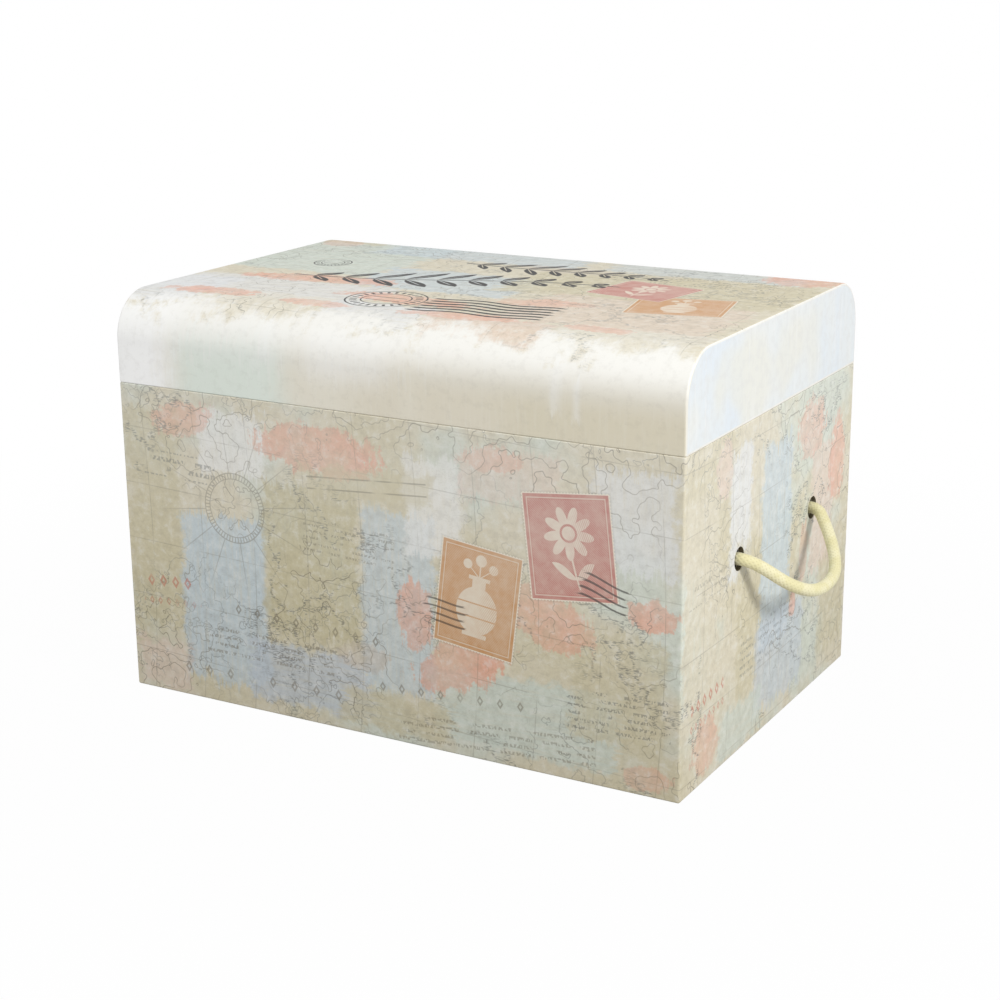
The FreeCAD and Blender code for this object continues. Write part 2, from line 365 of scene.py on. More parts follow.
class Print(Finish):
    """A brushed collage, painted on one unfolded sheet, layer over layer."""

    def __init__(self, name, ground):
        super().__init__(name)
        self.at = self.own_map("sheet")
        self.x, self.y = self.split(self.at)[:2]
        self.upright = self.noise(self.stretched(self.at, 380, 30), 1.0, 5.0, 0.72)
        self.level = self.noise(self.stretched(self.at, 30, 380), 1.0, 5.0, 0.72)
        self.cloud = self.noise(self.at, 26.0, 3.0, 0.55)
        self.ragged = self.noise(self.at, 75.0, 5.0, 0.72)
        self.grain = self.noise(self.at, 160.0, 4.0, 0.7)
        self.colour = ground

    def lay(self, colour, mask):
        self.colour = self.blend(self.colour, colour, mask)

    def local(self, at, turn=0.0):
        """The distances along and up from a place on the sheet, in metres."""
        x, y = self.x - at[0] * MM, self.y - at[1] * MM
        if not turn:
            return x, y
        cosine, sine = math.cos(math.radians(turn)), math.sin(math.radians(turn))
        return x * cosine + y * sine, y * cosine - x * sine

    def patch(self, at, half, colour, strokes, ragged, cover, turn=0):
        """One area of dry brush strokes, ragged where the strokes end."""
        x, y = self.local(at, turn)
        across, along = (x, y) if strokes == "up" else (y, x)
        half_across, half_along = half if strokes == "up" else half[::-1]
        streaks = self.upright if strokes == "up" else self.level
        torn = (self.ragged - 0.5) * (30 * MM)
        side = abs(across) - half_across * MM + torn
        end = abs(along) - half_along * MM + (streaks - 0.5) * (3.2 * ragged * MM) + torn
        mask = side.most(end).fall(-3.0 * MM, 3.0 * MM)
        dry = streaks.rise(0.34, 0.56) * 0.30 + 0.70
        self.lay(colour, mask * dry * cover)

    def blot(self, at, half, colour, turn, cover):
        """A stain with a torn outline."""
        x, y = self.local(at, turn)
        x, y = x / (half[0] * MM), y / (half[1] * MM)
        torn = (self.ragged + self.grain * 0.4 - 0.7) * 1.5 + (self.upright - 0.5) * 0.9
        out = x.out(y) + torn
        inner = (self.cloud + self.ragged * 0.6).rise(0.6, 1.0) * 0.45 + 0.55
        self.lay(colour, out.fall(0.82, 1.0) * inner * cover)

    def wash(self, at, half, colour, cover, soft, drips):
        """A soft upright area of thinned paint, with drips at its lower end."""
        x, y = self.local(at)
        streaks = self.upright - 0.5
        side = abs(x) - half[0] * MM + (self.ragged - 0.5 + streaks) * (1.5 * soft * MM)
        end = abs(y) - half[1] * MM + streaks * (4.0 * drips * MM)
        mask = side.fall(-soft * 1.5 * MM, soft * MM) * end.fall(-soft * MM, soft * MM)
        self.lay(colour, mask * cover)

    def line(self, distance, width, soft=0.25):
        """1 on a line of a width in mm, with a soft edge."""
        return abs(distance).fall(width * MM / 2, (width / 2 + soft) * MM)

    def contours(self, seed, ink, strength, low, high, bands=12.0, scale=14.0):
        """Thin level lines of one width, in islands."""
        ground = self.moved(self.at, seed, -seed)
        step = 0.5 * MM
        here, beside, above = [
            self.noise(self.moved(self.at, seed - x, -seed - y), scale, 4.0, 0.58)
            for x, y in ((0, 0), (step, 0), (0, step))
        ]
        along = (beside - here) / step
        up = (above - here) / step
        slope = along.out(up) * bands
        apart = (here * bands).off_half() / slope.most(1.0)
        island = self.noise(ground, 11.0, 1.0).rise(low, high)
        pressed = self.cloud.rise(0.3, 0.7) * 0.5 + 0.5
        self.lay(ink, apart.fall(0.14 * MM, 0.42 * MM) * island * pressed * strength)

    def hatching(self, seed, strength):
        """Short strokes along one level line."""
        ground = self.moved(self.at, seed, seed)
        height = self.noise(ground, 14.0, 4.0, 0.62)
        shore = abs(height - 0.5).fall(0.004, 0.02)
        strokes = self.noise(self.stretched(ground, 300, 1300), 1.0, 1.0).rise(0.48, 0.56)
        island = self.noise(ground, 9.0, 1.0).rise(0.46, 0.58)
        self.lay(SLATE, shore * strokes * island * strength)

    def net(self, strength):
        """Two families of thin, slightly bowed lines across the whole sheet."""
        x, y = self.x, self.y
        bow = y * (y - 0.2)
        up_lines = ((x + bow * 0.5) / 0.041).off_half()
        dip = (x * 5.0).sine() * 0.012
        level_lines = ((y + dip) / 0.038).off_half()
        lines = up_lines.fall(0.004, 0.012).most(level_lines.fall(0.004, 0.013))
        worn = self.cloud.rise(0.36, 0.56)
        self.lay(SEPIA, lines * worn * strength)

    def rules(self, at, half, ink, strength, turn):
        """A few level lines, broken here and there."""
        x, y = self.local(at, turn)
        pitch = 7.5
        inside = (abs(x) - half[0] * MM).most(abs(y) - half[1] * MM).fall(-MM, 0)
        beside = (y / (pitch * MM)).off_half() * (pitch * MM)
        lines = self.line(beside, 0.6, 0.3) * self.cloud.rise(0.36, 0.46)
        self.lay(ink, lines * inside * strength)

    def rows(self, at, half, ink, strength, turn, pitch, tall, fine):
        """Rows of small blotted marks, in runs as long as words, that spell nothing."""
        x, y = self.local(at, turn)
        inside = (abs(x) - half[0] * MM).most(abs(y) - half[1] * MM).fall(-MM, 0)
        row = y / (pitch * MM)
        beside = row.off_half() * (pitch * MM)
        words = self.noise(self.join(x * fine / 9, row.floor() * 7.3), 1.0, 0.0)
        marks = self.noise(self.join(x * fine, y * fine * 0.6), 1.0, 0.0)
        band = beside.fall((tall / 2 - 0.2) * MM, (tall / 2 + 0.2) * MM)
        mask = band * words.rise(0.40, 0.46) * marks.rise(0.46, 0.54)
        self.lay(ink, mask * inside * strength)

    def beads(self, at, half_length, spacing, size, ink, strength, turn):
        """One row of small diamonds, each with a pale middle."""
        x, y = self.local(at, turn)
        beside = (x / (spacing * MM)).off_half() * (spacing * MM)
        out = beside * 1.5 + abs(y)
        inside = (abs(x) - half_length * MM).fall(-MM, 0)
        ring = abs(out - size * 0.72 * MM).fall(0.22 * size * MM, 0.34 * size * MM)
        self.lay(ink, ring * inside * self.cloud.rise(0.3, 0.5) * strength)

    def dial(self, at, radius, ink, strength, turn):
        """A ring with ticks, rays outside it and a rosette inside."""
        x, y = self.local(at, turn)
        radius *= MM
        out = x.out(y)
        way = y.angle(x) / math.tau
        rings = self.line(out - radius, 0.5).most(self.line(out - radius * 0.84, 0.35))
        ticks = (way * 60.0).off_half().fall(0.10, 0.2)
        ticks = ticks * abs(out - radius * 0.92).fall(radius * 0.07, radius * 0.09)
        apart = (way * 12.0 + 0.5).off_half() * out * (math.tau / 12)
        reach = out.fall(radius * 1.5, radius * 3.0) * out.rise(radius, radius * 1.02)
        rays = apart.fall(0.2 * MM, 0.5 * MM) * reach * 0.7
        petals = abs((way * (math.pi * 8)).sine()) * (radius * 0.66)
        flower = self.line(out - petals, 0.4, 0.4) * out.fall(radius * 0.7, radius * 0.72)
        flower = flower * out.rise(radius * 0.2, radius * 0.3)
        self.lay(ink, rings.most(ticks).most(rays).most(flower) * strength)

    def label(self, at, half, colour, turn, motif):
        """A small perforated label with a pale jug or daisy on it."""
        x, y = self.local(at, turn)
        wide, tall = half[0] * MM, half[1] * MM
        perforation = 2.1 * MM
        bite = 0.7 * MM
        left, up = abs(x), abs(y)
        side = left - wide + abs((y * (math.pi / perforation)).sine()) * bite
        top = up - tall + abs((x * (math.pi / perforation)).sine()) * bite
        rim = (left - wide).most(up - tall)
        self.lay(SHADE, rim.fall(-0.4 * MM, 1.4 * MM) * 0.22)
        self.lay(LABEL_PAPER, side.most(top).fall(0.0, 0.3 * MM))
        uneven = self.ragged * 0.5 + self.cloud * 0.5 + self.grain * 0.6 + 0.08
        self.lay(colour, (rim + 1.2 * MM).fall(0.0, 0.3 * MM) * uneven.least(1.0))
        self.lay(LABEL_PAPER, self.line(rim + 3.4 * MM, 0.4) * 0.6)
        hatching = ((x + y) / (1.5 * MM)).off_half().fall(0.14, 0.30)
        self.lay(LABEL_PAPER, (rim + 4.6 * MM).fall(0.0, 0.3 * MM) * hatching * 0.24)
        mark = self.jug(x, y, tall) if motif == "jug" else self.daisy(x, y, tall)
        self.lay(LABEL_PAPER, mark * (self.ragged * 0.6 + self.grain * 0.9).least(0.85))
        shading = ((x - y * 0.5) / (1.3 * MM)).off_half().fall(0.14, 0.30)
        self.lay(colour, mark * shading * (x / tall).rise(-0.1, 0.4) * 0.5)

    def inside(self, x, y, half_wide, half_tall):
        """1 inside an upright oblong round the local middle."""
        over = (abs(x) - half_wide).most(abs(y) - half_tall)
        return over.fall(0.0, 0.4 * MM)

    def jug(self, x, y, tall):
        """A round jug with two bands, and three buds on stems above it."""
        low = y + tall * 0.22
        wide, high = x / (tall * 0.42), low / (tall * 0.46)
        belly = (wide * wide + high * high).fall(0.92, 1.0)
        belly = belly * abs(abs(low) - tall * 0.13).rise(0.3 * MM, 0.6 * MM)
        neck = self.inside(x, y - tall * 0.28, tall * 0.13, tall * 0.12)
        lip = self.inside(x, y - tall * 0.39, tall * 0.21, tall * 0.03)
        foot = self.inside(x, y + tall * 0.68, tall * 0.24, tall * 0.035)
        aside = abs(x) - tall * 0.26
        bud = y - tall * 0.62
        buds = aside.out(bud).fall(tall * 0.08, tall * 0.10)
        top = y - tall * 0.73
        buds = buds.most(x.out(top).fall(tall * 0.10, tall * 0.12))
        stem = abs(x).least(abs(abs(x) - (y - tall * 0.40) * 1.18)).fall(0.3 * MM, 0.6 * MM)
        stem = stem * (abs(y - tall * 0.52) - tall * 0.12).fall(0.0, 0.4 * MM)
        return belly.most(neck).most(lip).most(foot).most(buds).most(stem)

    def daisy(self, x, y, tall):
        """A daisy on a bowed stem with two leaves."""
        raised = y - tall * 0.26
        out = x.out(raised) / tall
        petal = abs((x.angle(raised) * 4.5).sine())
        head = (out - petal * 0.26 - 0.24).fall(-0.01, 0.01)
        head = head * abs(out - 0.15).rise(0.012, 0.03)
        side = abs(x - raised * raised * 4.0)
        stem = side.fall(0.45 * MM, 0.75 * MM)
        stem = stem * (abs(y + tall * 0.40) - tall * 0.36).fall(0.0, 0.4 * MM)
        share = side / (tall * 0.42)
        blade = (1.0 - share) * share * (tall * 0.40)
        leaves = (abs(y + tall * 0.58 - side * 0.7) - blade).fall(0.0, 0.3 * MM)
        return head.most(stem).most(leaves)

    def sprig(self, at, length, turn, leaf, pitch):
        """A long leafy twig in brushed black ink, its leaves in pairs."""
        x, y = self.local(at, turn)
        length *= MM
        bent = y - (x * 24.0).sine() * (8 * MM)
        side = abs(bent)
        share = x / length
        taper = 1.0 - abs(share + 0.08) * 1.35
        pairs = (x - side * 0.8) / (pitch * MM)
        near = pairs.fraction() - 0.5
        along = side / (taper * (leaf * MM)).most(0.1 * MM)
        width = (1.0 - along) * along * 4.0
        leaves = (abs(near) - width * 0.25 + 0.03).fall(0.0, 0.05)
        leaves = leaves * along.fall(0.96, 1.0) * along.rise(0.02, 0.06)
        first = -math.floor(length / 2 / (pitch * MM))
        leaves = leaves * pairs.rise(first, first + 0.05)
        vein = abs(near).fall(0.015, 0.04) * along.fall(0.5, 0.8)
        stem = side.fall(0.6 * MM, 1.0 * MM)
        inside = (abs(share) - 0.5).fall(0.0, 0.01)
        brushed = self.level.rise(0.28, 0.42) * 0.35 + 0.65
        self.lay(BLACK, (leaves * (1.0 - vein * 0.9)).most(stem) * inside * brushed)

    def ticked_ring(self, at, radius, strength):
        """Two rings in black ink, with short ticks between and bars across."""
        x, y = self.local(at)
        radius *= MM
        out = x.out(y)
        way = y.angle(x) / math.tau
        rings = self.line(out - radius, 0.9).most(self.line(out - radius * 0.62, 0.6))
        ticks = (way * 26.0).off_half().fall(0.14, 0.22)
        ticks = ticks * abs(out - radius * 0.81).fall(radius * 0.08, radius * 0.10)
        bars = abs(abs(y) - radius * 0.18).fall(0.3 * MM, 0.6 * MM)
        bars = bars * out.fall(radius * 0.5, radius * 0.52)
        worn = self.cloud.rise(0.30, 0.44)
        self.lay(BLACK, rings.most(ticks).most(bars) * worn * strength)

    def waves(self, at, half, strength, turn, pitch=4.6, width=0.9):
        """Parallel wavy strokes of uneven black ink."""
        x, y = self.local(at, turn)
        swell = (x * 120.0).sine() * (1.6 * MM) + (x * 51.0).sine() * (1.2 * MM)
        raised = y + swell
        apart = (raised / (pitch * MM)).off_half() * (pitch * MM)
        swelling = self.cloud * (0.9 * MM) + (width / 2 - 0.45) * MM
        lines = (apart - swelling).fall(0.0, 0.3 * MM)
        inside = (abs(raised) - half[1] * MM).fall(0.0, 0.2 * MM)
        ends = (abs(x) - half[0] * MM + (self.level - 0.5) * (30 * MM)).fall(-MM, MM)
        self.lay(BLACK, lines * inside * ends * strength)

    def flecks(self):
        """Dry white drags of the brush over everything below them."""
        where = self.noise(self.moved(self.at, 3.1, 1.7), 17.0, 2.0).rise(0.5, 0.68)
        self.lay(WHITE, self.upright.rise(0.60, 0.72) * where * 0.6)
        other = self.noise(self.moved(self.at, 1.3, 5.7), 15.0, 2.0).rise(0.52, 0.7)
        self.lay(WHITE, self.level.rise(0.60, 0.72) * other * 0.6)

    def age(self):
        """Small clouds and specks that the whole print shares."""
        self.lay(SHADE, self.ragged.fall(0.34, 0.50) * 0.08)
        self.lay(WHITE, self.ragged.rise(0.50, 0.66) * 0.12)
        self.lay(SHADE, self.grain.fall(0.34, 0.52) * 0.15)
        self.lay(WHITE, self.grain.rise(0.50, 0.68) * 0.30)
        specks = self.noise(self.at, 850.0, 2.0, 0.6)
        self.lay(SHADE, specks.rise(0.58, 0.70) * 0.14)

    def paper(self):
        """The satin surface: fine tooth, a faint wave and slightly uneven gloss."""
        tooth = self.noise(self.place(), 1500.0, 2.0, 0.6)
        relief = tooth * 0.3 + self.ragged * 0.3 + self.cloud * 0.6
        roughness = self.cloud * 0.10 + self.ragged * 0.06 + 0.39
        return self.surface(self.colour, roughness, self.bump(relief, PAPER_TOOTH, 0.3), **SATIN)


# The papers' relief and low sheen
PAPER_TOOTH = 0.05 * MM
SATIN = {"Specular_IOR_Level": 0.15, "Coat_Weight": 0.05, "Coat_Roughness": 0.40}

SAND = srgb(219, 211, 188)
KHAKI = srgb(208, 199, 167)
OLIVE = srgb(201, 192, 156)
BLUE = srgb(198, 212, 219)
HAZE = srgb(194, 204, 214)
MIST = srgb(229, 231, 232)
MINT = srgb(207, 217, 207)
CORAL = srgb(231, 174, 149)
BLUSH = srgb(226, 206, 190)
TAUPE = srgb(206, 194, 180)
WHITE = srgb(240, 240, 237)
SHADE = srgb(126, 118, 104)
SEPIA = srgb(118, 110, 94)
SLATE = srgb(96, 100, 100)
RUST = srgb(196, 112, 92)
BLACK = srgb(34, 32, 30)
ROSE = srgb(190, 120, 110)
OCHRE = srgb(200, 148, 98)
LABEL_PAPER = srgb(233, 224, 206)
LID_CREAM = srgb(229, 224, 209)
LID_BEIGE = srgb(222, 215, 197)
LID_MINT = srgb(224, 232, 223)
BRIGHT = srgb(251, 251, 250)

# Each patch: middle and half size in mm, colour, strokes, raggedness and cover
BODY_PATCHES = [
    ((-176, 120), (22, 74), KHAKI, "up", 12, 0.9),
    ((-122, 72), (34, 56), BLUE, "up", 14, 0.9),
    ((-112, 178), (26, 20), WHITE, "up", 10, 0.8),
    ((-54, 108), (36, 50), OLIVE, "up", 14, 0.85),
    ((-58, 30), (46, 20), HAZE, "level", 14, 0.8),
    ((10, 92), (26, 58), BLUE, "up", 12, 0.75),
    ((36, 156), (20, 30), WHITE, "up", 12, 0.7),
    ((98, 34), (62, 24), MINT, "level", 14, 0.85),
    ((160, 64), (30, 34), KHAKI, "up", 12, 0.7),
    ((170, 166), (26, 30), MIST, "up", 12, 0.7),
    ((6, 18), (40, 12), KHAKI, "level", 12, 0.8),
    ((-176, 20), (20, 16), BLUSH, "level", 10, 0.7),
    ((88, 182), (34, 16), BLUSH, "up", 10, 0.6),
    ((226, 110), (24, 70), SAND, "up", 14, 0.9),
    ((282, 156), (16, 40), MIST, "up", 12, 0.85),
    ((302, 84), (22, 50), KHAKI, "up", 14, 0.7),
    ((340, 120), (24, 66), BLUE, "up", 14, 0.85),
    ((350, 44), (40, 30), HAZE, "up", 14, 0.7),
    ((420, 124), (20, 42), BLUSH, "up", 12, 0.75),
    ((444, 52), (24, 32), OLIVE, "up", 14, 0.6),
    ((290, 18), (34, 14), MINT, "level", 12, 0.7),
]

# Each blot: middle and half size in mm, colour, turn and cover
BODY_BLOTS = [
    ((-46, 182), (50, 17), CORAL, -4, 0.9),
    ((-152, 190), (26, 12), CORAL, 10, 0.65),
    ((54, 60), (38, 17), CORAL, 24, 0.95),
    ((22, 86), (14, 24), CORAL, 0, 0.9),
    ((112, 100), (36, 19), CORAL, -20, 0.8),
    ((182, 112), (16, 11), CORAL, 0, 0.85),
    ((76, 192), (22, 9), CORAL, 0, 0.5),
    ((-16, 52), (20, 10), TAUPE, 0, 0.7),
    ((178, 12), (18, 9), CORAL, 6, 0.6),
    ((236, 24), (20, 20), CORAL, 0, 0.6),
    ((256, 188), (14, 18), BLUSH, 0, 0.9),
    ((398, 182), (26, 20), CORAL, 0, 0.7),
    ((446, 150), (16, 30), CORAL, 0, 0.75),
    ((388, 100), (8, 22), CORAL, 0, 0.5),
    ((372, 70), (6, 10), CORAL, 0, 0.7),
]

# Each run of rows: middle and half size, ink, strength, turn, pitch, height and fineness
BODY_ROWS = [
    ((-88, 44), (52, 12), SEPIA, 0.5, 0, 5.2, 2.2, 760.0),
    ((76, 16), (70, 10), SEPIA, 0.45, 4, 5.0, 2.2, 700.0),
    ((-26, 126), (34, 12), SEPIA, 0.45, -3, 4.0, 1.6, 900.0),
    ((160, 48), (34, 14), SLATE, 0.5, 2, 4.6, 2.0, 800.0),
    ((-156, 158), (30, 9), SLATE, 0.5, -2, 6.0, 2.8, 560.0),
    ((330, 62), (44, 16), SLATE, 0.4, 0, 5.0, 2.2, 760.0),
    ((236, 124), (30, 9), SEPIA, 0.35, 0, 6.0, 2.6, 560.0),
]

# Each row of beads: middle, half length, spacing and size, ink, strength and turn
BODY_BEADS = [
    ((-60, 66), 60, 15.0, 3.6, SEPIA, 0.6, -2),
    ((-96, 22), 70, 17.0, 4.0, SEPIA, 0.5, 1),
    ((46, 38), 60, 14.0, 3.4, SEPIA, 0.55, 3),
    ((-168, 78), 22, 10.0, 4.4, RUST, 0.6, 3),
    ((-166, 64), 24, 7.0, 2.8, RUST, 0.5, 3),
    ((238, 54), 24, 9.0, 4.2, RUST, 0.65, 3),
    ((238, 42), 26, 6.5, 2.8, RUST, 0.55, 3),
]


def body_print():
    """The cover of the four walls, from the first layer of paint to the last ink, then painted
    shade on the front and rear walls and towards the bottom, and painted light towards the top.
    """
    sheet = Print("brushed collage body", SAND)
    tone = sheet.noise(sheet.at, 9.0, 4.0, 0.6)
    sheet.lay(KHAKI, tone.rise(0.42, 0.60) * 0.7)
    pale = sheet.noise(sheet.moved(sheet.at, 2.2, 0.9), 8.0, 4.0, 0.6)
    sheet.lay(MINT, pale.rise(0.48, 0.62) * 0.75)
    for patch in BODY_PATCHES:
        sheet.patch(*patch)
    for blot in BODY_BLOTS:
        sheet.blot(*blot)
    sheet.flecks()
    sheet.age()
    sheet.contours(0.37, SEPIA, 0.7, 0.44, 0.56)
    sheet.contours(2.91, SLATE, 0.5, 0.50, 0.6, 7.0, 26.0)
    sheet.hatching(1.13, 0.6)
    sheet.net(0.3)
    for mark in BODY_ROWS:
        sheet.rows(*mark)
    for mark in BODY_BEADS:
        sheet.beads(*mark)
    sheet.dial((-112, 136), 23, SEPIA, 0.5, 8)
    sheet.patch((-12, 164), (46, 10), KHAKI, "level", 3, 0.55, 4)
    sheet.rules((-12, 164), (44, 9), SEPIA, 0.55, 4)
    sheet.label((66, 104), (28, 34), OCHRE, -7, "jug")
    sheet.label((128, 146), (29, 33), ROSE, 6, "daisy")
    sheet.waves((44, 92), (13, 9), 0.7, 4)
    sheet.waves((150, 122), (15, 9), 0.8, -8)
    # Painted shade: the front and rear walls a little darker than the ends, which the light
    # falls on more
    sheet.lay(SHADE, (abs(sheet.x) - WIDTH / 2).fall(-4 * MM, 0) * 0.08)
    # Painted shade towards the bottom of the walls, and painted light towards their top
    sheet.lay(SHADE, sheet.y.fall(0.0, 130 * MM) * 0.15)
    sheet.lay(WHITE, sheet.y.rise(60 * MM, 200 * MM) * 0.16)
    return sheet.paper()


# Each wash: middle and half size in mm, colour, cover, softness and drips
LID_WASHES = [
    ((96, 14), (122, 24), LID_BEIGE, 0.85, 16, 8),
    ((150, 8), (70, 20), KHAKI, 0.28, 16, 8),
    ((-112, 14), (46, 26), LID_MINT, 0.95, 14, 8),
    ((-196, 40), (40, 60), BRIGHT, 0.97, 14, 6),
    ((-50, 24), (20, 20), LID_CREAM, 0.7, 10, 12),
    ((-24, 34), (30, 16), BRIGHT, 0.4, 10, 8),
    # Partly the print's white and partly painted highlight: a white band along the whole round,
    # where it faces the light
    ((0, 64), (220, 32), WHITE, 0.75, 16, 4),
    ((118, 34), (4, 18), WHITE, 0.4, 3, 8),
    ((132, 24), (2.5, 12), WHITE, 0.4, 2, 6),
    ((-84, 40), (5, 14), WHITE, 0.5, 4, 8),
    ((20, 16), (8, 16), LID_CREAM, 0.5, 6, 10),
]

# The lid's patches and blots have the body's columns
LID_PATCHES = [
    ((-150, 240), (64, 70), MINT, "level", 16, 0.9),
    ((-60, 290), (80, 36), BLUE, "level", 16, 0.75),
    ((-120, 110), (80, 30), MIST, "level", 16, 0.7),
    ((-30, 176), (60, 34), BLUE, "level", 16, 0.75),
    ((60, 210), (54, 44), KHAKI, "level", 16, 0.85),
    ((120, 130), (70, 44), BLUSH, "level", 16, 0.6),
    ((150, 220), (50, 44), KHAKI, "up", 16, 0.8),
    ((110, 290), (70, 28), BLUE, "level", 16, 0.6),
    ((-180, 310), (30, 30), KHAKI, "level", 12, 0.7),
    ((0, 350), (210, 20), LID_BEIGE, "level", 8, 0.9),
    ((-186, 92), (34, 34), MIST, "level", 12, 0.9),
    ((-104, 72), (44, 22), LID_CREAM, "level", 14, 0.8),
    ((-20, 74), (36, 20), MIST, "level", 14, 0.8),
    ((60, 68), (44, 18), BLUSH, "level", 14, 0.8),
    ((150, 72), (48, 20), LID_CREAM, "level", 14, 0.8),
]

LID_BLOTS = [
    ((-110, 150), (62, 14), CORAL, 6, 0.9),
    ((-20, 112), (52, 14), CORAL, -4, 0.85),
    ((176, 286), (30, 24), CORAL, 0, 0.85),
    ((60, 140), (34, 12), CORAL, 10, 0.6),
    ((-180, 280), (18, 14), CORAL, 0, 0.5),
    ((20, 250), (40, 12), TAUPE, 0, 0.6),
    ((-148, 84), (40, 12), CORAL, 3, 0.85),
    ((-66, 78), (26, 9), CORAL, -4, 0.7),
    ((34, 82), (44, 10), CORAL, 2, 0.75),
    ((126, 84), (26, 9), CORAL, -3, 0.6),
]


def lid_print():
    """The lid's cover: pale washes up its front, a white band along its round that is partly
    painted highlight, and a collage that starts on its round.
    """
    sheet = Print("brushed collage lid", LID_CREAM)
    for wash in LID_WASHES:
        sheet.wash(*wash)
    dripped = sheet.y.rise(6 * MM, 34 * MM) * sheet.y.fall(40 * MM, 60 * MM)
    dripped = dripped * sheet.x.fall(-20 * MM, 80 * MM) * 0.4 + 0.07
    sheet.lay(WHITE, sheet.upright.rise(0.50, 0.62) * dripped)
    sheet.lay(SHADE, sheet.grain.fall(0.34, 0.52) * 0.07)
    front = sheet.colour
    sheet.colour = SAND
    for patch in LID_PATCHES:
        sheet.patch(*patch)
    for blot in LID_BLOTS:
        sheet.blot(*blot)
    sheet.flecks()
    sheet.age()
    sheet.contours(0.77, SEPIA, 0.6, 0.42, 0.56)
    sheet.hatching(1.63, 0.5)
    sheet.net(0.28)
    sheet.rows((110, 250), (60, 20), SEPIA, 0.5, 0, 6.0, 2.6, 560.0)
    sheet.lay(SHADE, 0.03)
    fading = sheet.upright * 0.02 + sheet.ragged * 0.07 + sheet.cloud * 0.08 - 0.085
    high = (sheet.y + fading).rise(48 * MM, 74 * MM)
    sheet.colour = sheet.blend(front, sheet.colour, high)
    sheet.label((140, 168), (31, 27), OCHRE, 12, "jug")
    sheet.label((98, 206), (29, 26), ROSE, -10, "daisy")
    sheet.sprig((-30, 184), 220, 12, 28, 21)
    sheet.sprig((20, 246), 150, -6, 22, 18)
    sheet.ticked_ring((-34, 108), 26, 1.0)
    sheet.waves((38, 108), (44, 20), 1.0, 4, 7.6, 3.0)
    sheet.ticked_ring((-140, 206), 13, 0.85)
    return sheet.paper()


def plain_paper(name, colour, tint):
    """Uncoated paper: soft clouds, short fibres and a fine tooth."""
    finish = Finish(name)
    place = finish.place()
    clouds = finish.noise(place, 22.0, 3.0, 0.5)
    fibres = finish.noise(finish.stretched(place, 1, 1, 2.4), 900.0, 2.0, 0.7)
    shade = clouds.rise(0.36, 0.66) * 0.6 + fibres * 0.35
    colour = finish.blend(colour, tint, shade)
    relief = finish.bump(fibres + clouds * 0.6, PAPER_TOOTH, 0.4)
    return finish.surface(colour, fibres * 0.12 + 0.72, relief)


def end_paper():
    """The pale sheets on the lid's ends: soft upright washes of white, cream and blue."""
    finish = Finish("pale brushed end paper")
    place = finish.place()
    washes = finish.noise(finish.stretched(place, 1, 16, 5), 1.0, 3.0, 0.5)
    streaks = finish.noise(finish.stretched(place, 1, 240, 16), 1.0, 4.0, 0.65)
    cream = finish.noise(finish.moved(place, 0.0, 0.4), 15.0, 2.0)
    blue_wash = washes.rise(0.40, 0.62) * 0.8
    colour = finish.blend(srgb(230, 233, 232), srgb(222, 230, 237), blue_wash)
    colour = finish.blend(colour, srgb(231, 229, 217), cream.rise(0.50, 0.66) * 0.6)
    colour = finish.blend(colour, srgb(240, 241, 240), streaks.rise(0.52, 0.70) * 0.4)
    mottle = finish.noise(place, 160.0, 3.0, 0.6)
    colour = finish.blend(colour, srgb(214, 214, 212), mottle.fall(0.36, 0.56) * 0.25)
    relief = mottle * 0.4 + finish.noise(place, 1500.0, 2.0, 0.6) * 0.3
    relief = finish.bump(relief, PAPER_TOOTH, 0.3)
    return finish.surface(colour, mottle * 0.08 + 0.38, relief, **SATIN)


def board_with_painted_hole_shade():
    """Recycled board: dark and pale specks in a grey-brown pulp, darker than real board as
    painted shade inside the rope holes.
    """
    finish = Finish("grey board with painted hole shade")
    place = finish.place()
    pulp = finish.noise(place, 60.0, 4.0, 0.6)
    specks = finish.noise(place, 1600.0, 2.0, 0.6)
    # Painted shade: the pulp is darker than real board, so the cut edges inside the rope holes
    # look shaded
    colour = finish.blend(srgb(118, 110, 94), srgb(92, 84, 70), pulp.rise(0.4, 0.64))
    colour = finish.blend(colour, srgb(62, 56, 48), specks.rise(0.64, 0.70) * 0.7)
    return finish.surface(colour, pulp * 0.1 + 0.8, finish.bump(specks, 0.08 * MM, 0.5))


def gummed_tape():
    """Brown paper tape with a ribbed face."""
    finish = Finish("gummed tape")
    place = finish.place()
    ribs = finish.noise(finish.stretched(place, 1, 1, 14), 160.0, 2.0, 0.6)
    colour = finish.blend(srgb(190, 158, 116), srgb(168, 134, 94), ribs.rise(0.4, 0.62))
    return finish.surface(colour, ribs * 0.12 + 0.6, finish.bump(ribs, PAPER_TOOTH, 0.4))


